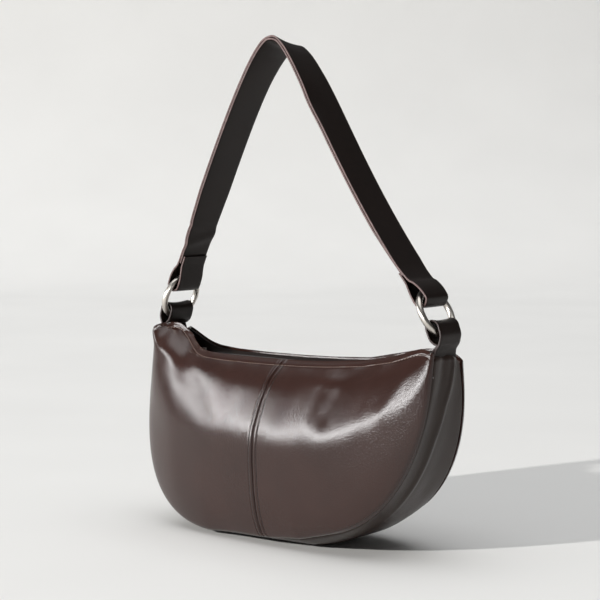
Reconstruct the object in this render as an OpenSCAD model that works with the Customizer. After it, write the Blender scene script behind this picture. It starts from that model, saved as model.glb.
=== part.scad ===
// Half moon shoulder bag in smooth leather. Two bulging panels are sewn to a tapering gusset,
// the mouth has a recessed zip, and a flat strap hangs on two round rings.
// X runs along the bag, -Y is its front and +Z is up. The origin is the middle of the foot.

/* [Bag body] */
// Length of the bag between its two ends
bag_length = 336; // [310:2:366]
// Height of the straight ends between the round outline and the mouth
end_rise = 27; // [23:1:31]
// How far the middle of the mouth hangs below its ends
mouth_dip = 22; // [16:1:24]
// Height of the round lower outline before the foot is cut flat
round_height = 171; // [161:1:175]
// How much of the round outline the flat foot takes away
foot_cut = 3; // [2:0.5:5]
// How full the left half of the round outline hangs: 2 is an ellipse, more is squarer
left_fullness = 3.3; // [2:0.1:4]
// How full the right half of the round outline hangs
right_fullness = 2.2; // [2:0.1:4]
// Depth of the gusset at the floor
floor_depth = 94; // [84:2:102]
// Depth of the gusset at its top ends
top_depth = 38; // [37:1:46]
// How far each panel stands out past its seam at half height
panel_bulge = 24; // [14:1:28]
// How far each panel stands out past its seam at the mouth
mouth_bulge = 9; // [6:1:12]
// How far the gusset's top ends, where the tab bases come out, lie below the ends of the mouth
gusset_drop = 11; // [9:1:15]
// Thickness of the body leather
leather_thick = 2.2; // [1.6:0.1:2.6]

/* [Lining] */
// Thickness of the lining cloth
lining_thick = 0.8; // [0.5:0.1:1]
// Room between the lining and the leather panels
lining_gap = 0.8; // [0.7:0.1:1]
// Length of the board that stiffens the foot
board_length = 58; // [40:1:60]
// Thickness of the board that stiffens the foot
board_thick = 1.6; // [1:0.1:2]

/* [Mouth and zip] */
// Width of the recess between the two mouth facings
recess_width = 36; // [32:1:38]
// How far the zip lies below the middle of the mouth
zip_recess = 9; // [7:1:12]
// Thickness of the mouth facings
facing_thick = 1.6; // [1:0.1:2]
// Length of the bag at each end that the opening part of the zip doesn't reach
zip_margin = 56; // [54:1:68]
// Thickness of the zip tape
tape_thick = 0.8; // [0.6:0.1:1]
// Height of the zip teeth
teeth_thick = 2.4; // [2:0.1:2.8]
// Width of one row of zip teeth, from the tape to the tips
row_width = 2.4; // [2:0.1:2.8]
// Distance from one zip tooth to the next
tooth_pitch = 3; // [2.5:0.5:4]
// Length of the zip slider
slider_length = 11; // [9:0.5:12]
// Length of the puller on the slider
puller_length = 25; // [18:1:26]
// Width of the puller
puller_width = 7; // [6:0.5:8]

/* [Rings and tabs] */
// Bore of each ring
ring_bore = 36; // [35:0.5:40]
// Thickness of the ring's wire
ring_wire = 6; // [5:0.25:6.25]
// Height of the ring centres above the ends of the mouth
ring_rise = 25; // [24:1:29]
// How far each ring's centre lies in from the end of the bag
ring_inset = 13; // [12:1:16]
// Width of the leather loops that go through the rings
loop_width = 32; // [28:1:33]
// Thickness of the leather of the tabs
tab_thick = 2; // [1.6:0.1:2.4]
// Height above the ends of the mouth of the line about which the strap falls forwards and back
fall_rise = 19; // [18:1:20]

/* [Strap] */
// Width of the strap
strap_width = 41; // [36:1:44]
// Thickness of each of the strap's two leather layers
strap_layer = 2; // [1.6:0.1:2.4]
// Height of the strap's highest point above the ring centres
strap_rise = 245; // [210:1:280]
// How far the highest point lies from the middle, towards the right
strap_peak_shift = -19; // [-25:1:5]

/* [Hidden] */

// Leather and metal colours
panel_colour = "#4a3632";
gusset_colour = "#35302b";
strap_colour = "#241b19";
lining_colour = "#8c7d6c";
zip_colour = "#2a2422";
metal_colour = "#b9b3a8";

// Fits
fit_gap = 0.3;
overrun = 1;
left_side = -1;
right_side = 1;

// Shape of the panels: columns and rows of the mesh, and how the bulge fades at the seams
columns = 11;
rows = 10;
mouth_power = 2.5;
end_power = 2.4;
end_fade = 0.75;
edge_fade = 0.65;
half_length = bag_length/2;
centre_height = round_height - foot_cut;
mouth_end_height = centre_height + end_rise;
gusset_top_height = mouth_end_height - gusset_drop;
zip_height = mouth_end_height - mouth_dip - zip_recess;
zip_length = bag_length - 2*zip_margin;
ring_height = mouth_end_height + ring_rise;
ring_span = bag_length - 2*ring_inset;
fall_height = mouth_end_height + fall_rise;
strap_peak_height = ring_height + strap_rise;
foot_share = centre_height/round_height;
left_angles = side_angles(left_fullness);
right_angles = side_angles(right_fullness);
full_angles = concat([for (i = [len(left_angles) - 1:-1:1]) -left_angles[i]], right_angles);

// Insets of the inner pieces from the outer outline
lining_inset = leather_thick + fit_gap;
band_inset = leather_thick + 2*fit_gap + board_thick + fit_gap;
lining_drop = 12;
band_top_height = centre_height;
base_low_height = centre_height + overrun;
facing_drop = 1;
facing_length_share = 0.88;
facing_rows = 3;
facing_columns = 20;

// Zip: the hinge lines lie in the corners of the recess
hinge_y = recess_width/2;
facing_gap = 0.6;
row_gap = 1.6;
tooth_length = 1.2;
row_end = row_gap/2 + row_width;
end_tape_gap = 0.4;
end_tape_length = 28;
slider_park_gap = 7;
slider_park = zip_length/2 + slider_length/2 + slider_park_gap;
stop_length = 3;
stop_gap = 6;
stop_start = slider_park + slider_length/2 + stop_gap;
slider_clearance = 0.4;
slider_wall = 1.2;
slider_cheek = 0.8;
slider_width = 2*(row_end + fit_gap + slider_cheek);
slot_half = tape_thick/2 + fit_gap;
post_width = row_gap - 2*fit_gap;
post_length = 2;
plate_low = teeth_thick/2 + slider_clearance;
plate_top = plate_low + slider_wall;
bail_width = 2;
bail_length = 7;
bail_height = 3.6;
bar_radius = 0.8;
bar_height = plate_top + bail_height/2;
puller_thick = 2*bar_radius;
window_room = 0.5;
window_width = bail_width + 2*window_room;
window_length = bail_length/2 + overrun;

// Tab bases
base_thick = 3.6;
base_inset = leather_thick + fit_gap;
base_width = top_depth - 2*leather_thick;

// Lean of each tab, ring and strap loop towards the middle: left, then right
tab_lean_angles = [18, 22];
ring_lean_angles = [21, 28];
strap_lean_angles = [24, 40];
wire_radius = ring_wire/2;
ring_radius = ring_bore/2 + wire_radius;
ring_outer = ring_bore/2 + ring_wire;
// Where the edge of a loop lies on the wire, and the middle of the wire's arc inside the loop
wire_low = sqrt(pow(ring_bore/2, 2) - pow(loop_width/2, 2));
pivot_reach = (ring_outer + wire_low)/2;
loop_half = (ring_outer - wire_low)/2 + fit_gap;
loop_room = 2.6;
loop_radius = wire_radius + loop_room;
open_slack = 0.5;
base_drop = 2;
stem_length = 5;
fall_radius = fall_rise + base_drop;
strap_tail = 13;
taper_rise = 25;
taper_length = 18;

// Strap path: reach of the handles of its two curves, at the rings and at the peak
left_handle = 180;
right_handle = 140;
left_peak_handle = 18;
right_peak_handle = 25;
layer_gap = 0.2;
path_steps = 16;

// Angles from straight down to the end of one half of the outline: the flat foot, then its round
function side_angles(full) = let (foot = atan(pow(1 - pow(foot_share, full), 1/full)/foot_share))
    concat([0, foot/2], [for (i = [0:columns]) foot + (90 - foot)*i/columns]);
function fullness(x) = x < 0 ? left_fullness : right_fullness;
// Share of the half length that the outline reaches at an angle from straight down
function reach_share(a) = let (n = fullness(a))
    sin(a)/pow(pow(abs(sin(a)), n) + pow(cos(a), n), 1/n);
// Lower edge of the outline at x, for an outline drawn in by inset
function low_z(x, inset) = let (n = fullness(x), share = min(1, abs(x)/(half_length - inset)))
    max(inset, centre_height - (round_height - inset)*pow(1 - pow(share, n), 1/n));
// Upper edge of the panels at x
function mouth_z(x) = mouth_end_height - mouth_dip*(1 - pow(min(1, abs(x)/half_length), mouth_power));
// Half depth of the gusset at height z
function seam_y(z) = floor_depth/2 + (top_depth - floor_depth)/2*z/mouth_end_height;
// How far the panel stands out past its seam at x, z
function bulge(x, z) = let (
        low = low_z(x, 0),
        t = max(0, min(1, (z - low)/(mouth_z(x) - low))),
        span = pow(max(0, 1 - pow(abs(x)/half_length, end_power)), end_fade))
    span*(panel_bulge*pow(4*t*(1 - t), edge_fade) + mouth_bulge*t*t);
function row_share(j) = (1 - cos(180*j/rows))/2;
function mix(a, b, t) = a + (b - a)*t;

// Grid of points on the front panel's inner face, drawn in by inset and moved out by lift
function skin(angles, inset, top_drop, lift) = [for (a = angles)
    let (x = (half_length - inset)*reach_share(a))
    [for (j = [0:rows])
        let (z = mix(low_z(x, inset), mouth_z(x) - top_drop, row_share(j)))
        [x, -(seam_y(z) + bulge(x, z) + lift), z]]];

// Grid of points on the front facing, from the hinge line up to the panel's edge
function facing_skin(lift) = [for (i = [0:facing_columns])
    let (
        x = half_length*facing_length_share*(2*i/facing_columns - 1),
        top = mouth_z(x) - facing_drop,
        top_y = seam_y(top) + bulge(x, top) - facing_gap - facing_thick)
    [for (j = [0:facing_rows - 1])
        let (s = j/(facing_rows - 1))
        [x, -(mix(hinge_y + facing_gap, top_y, s) + lift), mix(zip_height, top, s)]]];

// Closed sheet between two grids of points, the first one facing outwards
module sheet(outer, inner) {
    n = len(outer);
    m = len(outer[0]);
    half = n*m;
    function a(i, j) = i*m + j;
    function b(i, j) = half + i*m + j;
    cells = [for (i = [0:n - 2], j = [0:m - 2]) each [
        [a(i, j), a(i, j + 1), a(i + 1, j + 1)], [a(i, j), a(i + 1, j + 1), a(i + 1, j)],
        [b(i, j), b(i + 1, j + 1), b(i, j + 1)], [b(i, j), b(i + 1, j), b(i + 1, j + 1)]]];
    long_edges = [for (i = [0:n - 2]) each [
        [a(i, 0), a(i + 1, 0), b(i + 1, 0)], [a(i, 0), b(i + 1, 0), b(i, 0)],
        [a(i + 1, m - 1), a(i, m - 1), b(i, m - 1)],
        [a(i + 1, m - 1), b(i, m - 1), b(i + 1, m - 1)]]];
    short_edges = [for (j = [0:m - 2]) each [
        [a(0, j + 1), a(0, j), b(0, j)], [a(0, j + 1), b(0, j), b(0, j + 1)],
        [a(n - 1, j), a(n - 1, j + 1), b(n - 1, j + 1)],
        [a(n - 1, j), b(n - 1, j + 1), b(n - 1, j)]]];
    polyhedron(points = concat([for (c = outer) each c], [for (c = inner) each c]),
        faces = concat(cells, long_edges, short_edges));
}

// Leather panel over the columns at these angles
module panel(angles) sheet(skin(angles, 0, 0, leather_thick), skin(angles, 0, 0, 0));

module front_lining() {
    sheet(skin(full_angles, lining_inset, lining_drop, -lining_gap),
        skin(full_angles, lining_inset, lining_drop, -lining_gap - lining_thick));
}

// Solid of a flat XZ shape, centred across the bag
module across(depth) rotate([90, 0, 0]) linear_extrude(depth, center = true) children();
// Solid of a flat YZ shape, centred along the bag
module along(length) rotate([90, 0, 90]) linear_extrude(length, center = true) children();

// Points down the outline from the top of the left end round to the right
function outline(inset, top) = concat([[-(half_length - inset), top]],
    [for (a = full_angles) let (x = (half_length - inset)*reach_share(a)) [x, low_z(x, inset)]],
    [[half_length - inset, top]]);
function turned(list) = [for (i = [len(list) - 1:-1:0]) list[i]];

// U-shaped band under the outline, cut to the taper of the gusset less side_gap a side
module band(inset, thick, top, side_gap) {
    intersection() {
        across(floor_depth + overrun)
            polygon(concat(outline(inset, top), turned(outline(inset + thick, top))));
        along(bag_length + overrun) polygon([
            for (s = [-1, 1]) [s*(seam_y(0) - side_gap), 0],
            for (s = [1, -1]) [s*(seam_y(top) - side_gap), top]]);
    }
}

module front_panel_left() color(panel_colour) panel([for (a = full_angles) if (a <= 0) a]);
module front_panel_right() color(panel_colour) panel(right_angles);
module back_panel() color(panel_colour) mirror([0, 1, 0]) panel(full_angles);
module gusset() color(gusset_colour) band(0, leather_thick, gusset_top_height, 0);
module lining_front() color(lining_colour) front_lining();
module lining_back() color(lining_colour) mirror([0, 1, 0]) front_lining();
module lining_gusset() {
    color(lining_colour) band(band_inset, lining_thick, band_top_height, fit_gap);
}

module foot_board() {
    depth = floor_depth - 2*lining_inset;
    color(lining_colour) translate([-board_length/2, -depth/2, leather_thick + fit_gap])
        cube([board_length, depth, board_thick]);
}

module facing() sheet(facing_skin(facing_thick), facing_skin(0));
module front_facing() color(panel_colour) facing();
module rear_facing() color(panel_colour) mirror([0, 1, 0]) facing();

// Front half of the zip tape, from the hinge line to the teeth
module zip_tape() {
    translate([-zip_length/2, -(hinge_y - fit_gap), zip_height - tape_thick/2])
        cube([zip_length, hinge_y - fit_gap - row_end, tape_thick]);
}

// One row of teeth between two places along the zip, on the front side of its middle
module tooth_row(start, end) {
    count = floor((end - start)/tooth_pitch);
    root = -(row_gap/2 + tooth_length);
    tip = -row_gap/2;
    comb = [for (i = [0:count - 1]) let (x = start + i*tooth_pitch) each [
        [x, root], [x, tip], [x + tooth_pitch/2, tip], [x + tooth_pitch/2, root]]];
    translate([0, 0, zip_height]) linear_extrude(teeth_thick, center = true)
        polygon(concat([[start, -row_end]], comb, [[end, root], [end, -row_end]]));
}

module front_zip_tape() color(zip_colour) zip_tape();
module rear_zip_tape() color(zip_colour) mirror([0, 1, 0]) zip_tape();
module front_zip_teeth() color(metal_colour) tooth_row(-zip_length/2, zip_length/2);
module rear_zip_teeth() color(metal_colour) mirror([0, 1, 0]) tooth_row(-zip_length/2, zip_length/2);

// Fixed tape and teeth past each end of the opening, where the slider parks
module zip_end_tapes() {
    start = zip_length/2 + end_tape_gap;
    for (s = [-1, 1], t = [0, 1]) color(zip_colour) mirror([0, t, 0]) scale([s, 1, 1]) {
        translate([start, -hinge_y - facing_gap + fit_gap, zip_height - tape_thick/2])
            cube([end_tape_length, hinge_y + facing_gap - fit_gap - row_end, tape_thick]);
        tooth_row(start, start + end_tape_length);
    }
}

module zip_end_stops() {
    width = row_gap - fit_gap;
    for (s = [-1, 1]) color(metal_colour)
        translate([s*(stop_start + stop_length/2), 0, zip_height])
            cube([stop_length, width, teeth_thick], center = true);
}

// Slider at its left parking place, with the bail that holds the puller
module zip_slider() {
    color(metal_colour) translate([-slider_park, 0, zip_height]) {
        difference() {
            cube([slider_length, slider_width, 2*plate_top], center = true);
            cube([slider_length + overrun, slider_width - 2*slider_cheek, 2*plate_low],
                center = true);
            cube([slider_length + overrun, slider_width + overrun, 2*slot_half], center = true);
        }
        translate([slider_length/2 - post_length - fit_gap, -post_width/2, -plate_low])
            cube([post_length, post_width, 2*plate_low]);
        difference() {
            translate([-bail_length/2, -bail_width/2, plate_top])
                cube([bail_length, bail_width, bail_height]);
            translate([0, 0, bar_height]) rotate([90, 0, 0])
                cylinder(r = bar_radius + fit_gap, h = bail_width + overrun, center = true, $fn = 32);
        }
    }
}

// Puller lying flat, pointing to the left end
module zip_puller() {
    tail = puller_length - puller_width/2;
    arm = (puller_width - window_width)/2;
    color(metal_colour) translate([-slider_park, 0, zip_height + bar_height]) {
        rotate([90, 0, 0]) cylinder(r = bar_radius, h = puller_width, center = true, $fn = 32);
        translate([0, 0, -puller_thick/2]) linear_extrude(puller_thick) difference() {
            union() {
                translate([-tail, -puller_width/2]) square([tail, puller_width]);
                translate([-tail, 0]) circle(d = puller_width, $fn = 48);
            }
            translate([-window_length - bar_radius, -window_width/2])
                square([window_length + bar_radius + overrun, window_width]);
        }
    }
}

// Places: children stand with local Z along the lean of the ring, tab or strap loop
function side_index(side) = side < 0 ? 0 : 1;
function ring_point(side, reach) = let (lean = ring_lean_angles[side_index(side)])
    [side*(ring_span/2 - reach*sin(lean)), ring_height + reach*cos(lean)];
module at_ring(side, reach, lean) {
    place = ring_point(side, reach);
    translate([place[0], 0, place[1]]) rotate([0, -side*lean, 0]) children();
}

module ring(side) {
    color(metal_colour) at_ring(side, 0, ring_lean_angles[side_index(side)]) rotate([0, 90, 0])
        rotate_extrude($fn = 64) translate([ring_radius, 0]) circle(r = wire_radius, $fn = 32);
}
module left_ring() ring(left_side);
module right_ring() ring(right_side);

// Long round-ended shape on the local Z axis
module slot_shape(half, radius) {
    for (s = [-1, 1]) translate([0, s*(half - radius)]) circle(r = radius, $fn = 40);
    square([2*radius, 2*(half - radius)], center = true);
}

// Keeps what lies above the fall line or within its radius, so that the tab turns freely
module fall_envelope() {
    translate([0, 0, fall_height]) {
        rotate([0, 90, 0]) cylinder(r = fall_radius, h = bag_length + strap_width, center = true,
            $fn = 96);
        translate([-bag_length/2 - strap_width/2, -strap_width/2, 0])
            cube([bag_length + strap_width, strap_width, ring_outer*2]);
    }
}

// Leather tab folded round the lower part of a ring
module tab(side) {
    reach = loop_half + tab_thick;
    color(strap_colour) intersection() {
        at_ring(side, -pivot_reach, tab_lean_angles[side_index(side)]) across(loop_width) difference() {
            union() {
                slot_shape(reach, loop_radius + tab_thick);
                translate([-tab_thick, -reach - stem_length]) square([2*tab_thick, reach]);
            }
            slot_shape(loop_half, loop_radius);
        }
        fall_envelope();
    }
}
module left_tab() tab(left_side);
module right_tab() tab(right_side);

// Sewn foot of the tab, tucked inside the top of the gusset
module tab_base(side) {
    x = half_length - base_inset - base_thick;
    top = fall_height - fall_radius - fit_gap;
    color(strap_colour) scale([side, 1, 1])
        translate([x, -base_width/2, base_low_height])
            cube([base_thick, base_width, top - base_low_height]);
}
module left_tab_base() tab_base(left_side);
module right_tab_base() tab_base(right_side);

// Ends of the strap's straight part, where its two layers meet above the loops
loop_tips = [for (side = [left_side, right_side])
    let (place = ring_point(side, pivot_reach), lean = strap_lean_angles[side_index(side)])
    [place[0] - side*(loop_half + strap_tail)*sin(lean),
        place[1] + (loop_half + strap_tail)*cos(lean)]];
strap_peak = [strap_peak_shift, strap_peak_height];
left_way = [sin(strap_lean_angles[0]), cos(strap_lean_angles[0])];
right_way = [-sin(strap_lean_angles[1]), cos(strap_lean_angles[1])];
left_curve = [loop_tips[0], loop_tips[0] + left_handle*left_way,
    strap_peak - [left_peak_handle, 0], strap_peak];
right_curve = [strap_peak, strap_peak + [right_peak_handle, 0],
    loop_tips[1] + right_handle*right_way, loop_tips[1]];
function curve_point(c, t) = pow(1 - t, 3)*c[0] + 3*t*pow(1 - t, 2)*c[1]
    + 3*t*t*(1 - t)*c[2] + t*t*t*c[3];
function curve_slope(c, t) = pow(1 - t, 2)*(c[1] - c[0]) + 2*t*(1 - t)*(c[2] - c[1])
    + t*t*(c[3] - c[2]);
// Points beside the strap's path, at this distance towards its outer side
function strap_side(offset) = [for (i = [0:2*path_steps])
    let (
        c = i <= path_steps ? left_curve : right_curve,
        t = i <= path_steps ? i/path_steps : i/path_steps - 1,
        s = curve_slope(c, t))
    curve_point(c, t) + offset*[-s[1], s[0]]/norm(s)];
// Strip between two distances from the path, carried on past both ends by extra
module strap_strip(low, high, extra) {
    start = -extra*left_way;
    end = -extra*right_way;
    outer = strap_side(high);
    inner = strap_side(low);
    last = 2*path_steps;
    polygon(extra > 0
        ? concat([outer[0] + start], outer, [outer[last] + end, inner[last] + end],
            turned(inner), [inner[0] + start])
        : concat(outer, turned(inner)));
}

// Drop-shaped loop at the end of the strap, on the local Z axis
module drop_shape(half, radius, tip_half) {
    slot_shape(half, radius);
    polygon([[-radius, 0], [radius, 0], [tip_half, loop_half + strap_tail],
        [-tip_half, loop_half + strap_tail]]);
}
module strap_loop(side, slack) {
    place = ring_point(side, pivot_reach);
    radius = loop_radius + slack;
    translate(place) rotate(side*strap_lean_angles[side_index(side)]) difference() {
        drop_shape(loop_half + slack + strap_layer, radius + strap_layer,
            strap_layer + layer_gap/2);
        drop_shape(loop_half + slack, radius, layer_gap/2);
    }
}

// Narrows the strap to the width of its loops near the rings
module strap_width_profile() {
    low = ring_height - ring_outer;
    start = ring_height + taper_rise;
    along(bag_length) polygon([
        for (s = [-1, 1]) [s*loop_width/2, low],
        [loop_width/2, start], [strap_width/2, start + taper_length],
        for (s = [1, -1]) [s*strap_width/2, strap_peak_height + 2*strap_layer],
        [-strap_width/2, start + taper_length], [-loop_width/2, start]]);
}

module strap_outer_layer() {
    color(strap_colour) intersection() {
        union() {
            across(strap_width) strap_strip(layer_gap/2, layer_gap/2 + strap_layer, overrun);
            across(strap_width) strap_loop(left_side, 0);
            across(strap_width) strap_loop(right_side, open_slack);
        }
        strap_width_profile();
    }
}
module strap_inner_layer() {
    color(strap_colour) intersection() {
        across(strap_width) strap_strip(-layer_gap/2 - strap_layer, -layer_gap/2, 0);
        strap_width_profile();
    }
}

front_panel_left();
front_panel_right();
back_panel();
gusset();
foot_board();
lining_front();
lining_back();
lining_gusset();
front_facing();
rear_facing();
front_zip_tape();
rear_zip_tape();
front_zip_teeth();
rear_zip_teeth();
zip_end_tapes();
zip_end_stops();
zip_slider();
zip_puller();
left_tab_base();
right_tab_base();
left_tab();
right_tab();
left_ring();
right_ring();
strap_outer_layer();
strap_inner_layer();
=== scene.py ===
"""Half moon bag: leather, stitching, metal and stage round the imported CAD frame."""

import math

import bpy
import numpy as np
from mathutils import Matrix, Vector


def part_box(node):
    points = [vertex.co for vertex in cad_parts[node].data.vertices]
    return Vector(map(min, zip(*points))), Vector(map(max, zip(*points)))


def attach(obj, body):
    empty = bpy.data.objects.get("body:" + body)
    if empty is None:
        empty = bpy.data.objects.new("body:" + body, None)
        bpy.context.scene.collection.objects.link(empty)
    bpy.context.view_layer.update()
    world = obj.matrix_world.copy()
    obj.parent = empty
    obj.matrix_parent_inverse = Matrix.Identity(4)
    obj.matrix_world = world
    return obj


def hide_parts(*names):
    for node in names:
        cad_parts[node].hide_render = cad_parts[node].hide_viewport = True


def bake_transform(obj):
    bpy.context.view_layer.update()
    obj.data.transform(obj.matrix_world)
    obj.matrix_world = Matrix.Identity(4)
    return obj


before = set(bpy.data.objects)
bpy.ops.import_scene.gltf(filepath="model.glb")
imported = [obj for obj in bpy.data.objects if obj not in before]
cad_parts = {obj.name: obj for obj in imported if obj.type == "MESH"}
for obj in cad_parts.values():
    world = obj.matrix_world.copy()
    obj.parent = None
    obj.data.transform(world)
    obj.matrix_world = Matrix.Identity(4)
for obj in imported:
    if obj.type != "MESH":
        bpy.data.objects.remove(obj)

bl_info = {
    "name": "Half moon bag",
    "version": (1, 0, 0),
    "blender": (4, 5, 0),
    "location": "View3D > Sidebar > Bag",
    "description": "Builds the leather, stitching, metal and stage of a half moon shoulder bag",
    "category": "Object",
}

MM = 0.001


def node_box(node):
    """Lowest and highest corner of a CAD node, in millimetres."""
    low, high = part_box(node)
    return np.array(low) / MM, np.array(high) / MM


# Sizes in millimetres and degrees. The first come from the CAD nodes, and the rest are the
# CAD's own values, for what no node's box shows
GUSSET_LOW, GUSSET_HIGH = node_box("gusset")
PANEL_LOW, PANEL_HIGH = node_box("back_panel")
HALF = GUSSET_HIGH[0]
FLOOR_HALF = GUSSET_HIGH[1]
GUSSET_TOP = GUSSET_HIGH[2]
MOUTH_END = PANEL_HIGH[2]
LEATHER = 2.2
MOUTH_DIP = 22.0
CENTRE = 168.0
ROUND = 171.0
FULLNESS = (3.3, 2.2)
TOP_HALF = 19.0
BELLY = 24.0
MOUTH_BELLY = 9.0
MOUTH_PULL = 6.5
ZIP_Z = 164.0
HINGE_Y = 18.0
RING_RADIUS = 21.0
WIRE = 3.0
RING_Z = 220.0
RING_X = 155.0
RING_LEANS = (21.0, 28.0)
TAB_LEANS = (18.0, 22.0)
STRAP_LEANS = (24.0, 40.0)
PIVOT_REACH = 16.12
LOOP_HALF = 8.18
LOOP_RADIUS = 5.6
STRAP_TAIL = 13.0
STRAP_HALF = 20.5
PEAK = np.array([-19.0, 465.0])
TAB_FOOT = 163.7
TAB_HALF = 16.0
TAB_THICK = 2.0
STRAP_LAYER = 2.0
# Sizes of the leather work and the zip that only this file needs, in millimetres
MOUTH_HALF = 158.0
SEAM_CLEAR = 0.3
LINING_CLOTH = 0.6
TOOTH_PITCH = 3.0
TOOTH_ROW = 2.35
TAPE_INNER = 3.3
# Width of the turn at the foot, in front and behind
FOOT_TURNS = (36, 18)
# Where the panels' seams lie above the foot's edge: place along the bag, width and height
FOOT_LIFTS = ((52, 54, 10.8), (-40, 50, 5.0))
# Depths below the rim of a panel's upper rows of points
RIM_DEPTHS = np.array([9, 7.8, 6.9, 6.3, 5.8, 5.4, 5, 4.6, 4, 3.2, 2.3, 1.5, 0.8, 0.3, 0])
# Shares of the gusset's depth at which its rounded edge has its points
EDGE_SHARES = np.array([0, 0.006, 0.014, 0.026, 0.042, 0.062, 0.09, 0.13])
# How far across the gusset its crease lies at each height, as shares of its half depth
CREASE_HEIGHTS = (0, 60, 110, 140, 165, 184)
CREASE_SHARES = (-0.35, -0.38, -0.3, -0.1, 0.3, 0.5)
# A point inside the bag, in metres
INSIDE = Vector((0, 0, 0.09))
# Places along the bag, a millimetre apart, at which soft lines hold their values
PLACES = np.arange(-200, 201)


def hill(value, place, width):
    """Bell curve: 1 at the place, nearly 0 from two widths away."""
    return np.exp(-(((value - place) / width) ** 2))


def fullness(x):
    """Exponent of the outline at x, larger where it is fuller."""
    return np.where(np.asarray(x) < 0, FULLNESS[0], FULLNESS[1])


def low_edge(x, inset=0.0):
    """Height of the lower outline at x."""
    n = fullness(x)
    share = np.minimum(1, np.abs(x) / (HALF - inset))
    return np.maximum(inset, CENTRE - (ROUND - inset) * (1 - share**n) ** (1 / n))


def reach(angle):
    """Share of the half length that the outline reaches at an angle from straight down."""
    n = fullness(angle)
    s, c = np.abs(np.sin(angle)), np.abs(np.cos(angle))
    return np.sin(angle) / (s**n + c**n) ** (1 / n)


def angle_of(x):
    """Angle from straight down at which the outline reaches x."""
    angles = np.radians(np.linspace(-90, 90, 1441))
    return np.interp(x / HALF, reach(angles), angles)


def seam_lift(x):
    """How far the panels' seams lie above the rounded edge of the foot."""
    return sum(height * hill(x, place, width) for place, width, height in FOOT_LIFTS)


def soft_line(*points):
    """Values every millimetre from -200 to 200 along a line of points, evened out."""
    values = np.interp(PLACES, *zip(*points))
    weights = np.hanning(15)
    return np.convolve(np.pad(values, 7, mode="edge"), weights / weights.sum(), mode="valid")


# Height of each rim, and how far it is drawn in towards the middle plane, along the bag
FRONT_RIM = soft_line(
    (-174, 182), (-166, 191.5), (-160, 195), (-144, 195), (-132, 188), (-120, 180), (-107, 175),
    (-89, 172), (-65, 171), (-30, 170.8), (0, 171.2), (30, 172), (60, 173.5), (100, 177),
    (130, 182.8), (150, 189.2), (158, 191), (164, 189.5), (172, 184),
)
BACK_RIM = soft_line(
    (-174, 182), (-164, 188), (-156, 189), (-149, 186), (-142, 180.5), (-134, 175), (-124, 171.5),
    (-100, 169), (-60, 168), (-20, 168), (20, 169), (60, 171.5), (100, 179.5), (130, 185.5),
    (145, 186), (155, 183.5), (162, 180), (172, 173),
)
FRONT_DRAW = soft_line((-164, 0), (-157, 11), (-124, 11), (-112, 8), (-100, 3), (-88, 0))
BACK_DRAW = soft_line((-164, 0), (-156, 9), (-110, 9), (-70, 6.5), (-20, 3), (30, 0))


def mouth_edge(x, sign=-1):
    """Height at x of the rim of the front (sign -1) or of the back (sign 1)."""
    return np.interp(x, PLACES, FRONT_RIM if sign < 0 else BACK_RIM)


def drawn_in(x, below, sign=-1):
    """How far the rim and the leather under it are drawn in at x."""
    draw = np.interp(x, PLACES, FRONT_DRAW if sign < 0 else BACK_DRAW)
    return draw * hill(np.clip(below, 0, None), 0, 16)


def seam_at(z):
    """Place along the bag of the middle seam, which bows a little at mid height."""
    t = np.clip(z / 173, 0, 1)
    return np.interp(t, (0, 0.2, 0.45, 0.62, 0.78, 1), (0, -2.0, -3.6, -3.2, 0.0, 7.0))


def seam_shift(x, z):
    """How far the leather at x moves along with the bowed seam."""
    return seam_at(z) * hill(x, 0, 55)


def foot_turn(x, y, half):
    """How far the rounded edge of the foot lies above the flat foot, more so in front."""
    width = np.where(y < 0, *FOOT_TURNS)
    return seam_lift(x) * np.clip(1 - (half - np.abs(y)) / width, 0, 1) ** 2


def end_puff(x, z):
    """How far the left end of the mouth swells outwards, past the end of the gusset."""
    return 5.0 * hill(z, 186, 9) * np.clip((-x - 138) / 30, 0, 1) ** 2


def seam_depth(z):
    """Half depth of the gusset at height z."""
    return FLOOR_HALF + (TOP_HALF - FLOOR_HALF) * z / MOUTH_END


def belly(x, z):
    """How far a panel stands out past its seam."""
    low = low_edge(x) + seam_lift(x)
    share = np.minimum(1, np.abs(x) / HALF)
    full = MOUTH_END - MOUTH_DIP * (1 - share**2.5)
    t = np.clip((z - low) / (full - low), 0, 1)
    span = np.clip(1 - share**2.4, 0, None) ** 0.75
    shoulder = 2.4 * hill(t, 0.58, 0.14)
    drawn = MOUTH_PULL * (1 - share**6) * hill(full - z, 0, 14)
    return span * (BELLY * (4 * t * (1 - t)) ** 0.65 + MOUTH_BELLY * t * t + shoulder) - drawn


def edge_distance(x, z):
    """About how far a point of a panel lies inside the round outline."""
    n = fullness(x)
    a, b = np.abs(x) / HALF, np.clip(CENTRE - z, 0, None) / ROUND
    inside = 1 - a**n - b**n
    slope = n * np.sqrt((a ** (n - 1) / HALF) ** 2 + (b ** (n - 1) / ROUND) ** 2)
    round_part = inside / np.maximum(slope, 1e-6) - seam_lift(x)
    flat_part = HALF - np.abs(x)
    foot = z + 0.02 - seam_lift(x)
    return np.clip(np.where(z < CENTRE, np.minimum(round_part, foot), flat_part), 0, None)


def roll(distance, radius):
    """Rounded edge: 0 at the edge, 1 from radius inwards."""
    d = np.clip(distance / radius, 0, 1)
    return np.sqrt(1 - (1 - d) ** 2)


def ridge(x, z, start, end, width):
    """Soft mark along the line from start to end, 1 at its middle."""
    a, b = np.array(start, float), np.array(end, float)
    d = b - a
    length = np.hypot(*d)
    px, pz = x - a[0], z - a[1]
    along = (px * d[0] + pz * d[1]) / length
    across = (pz * d[0] - px * d[1]) / length
    past = np.clip(-along, 0, None) + np.clip(along - length, 0, None)
    return np.exp(-((across / width) ** 2) - (past / (1.6 * width)) ** 2)


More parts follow.
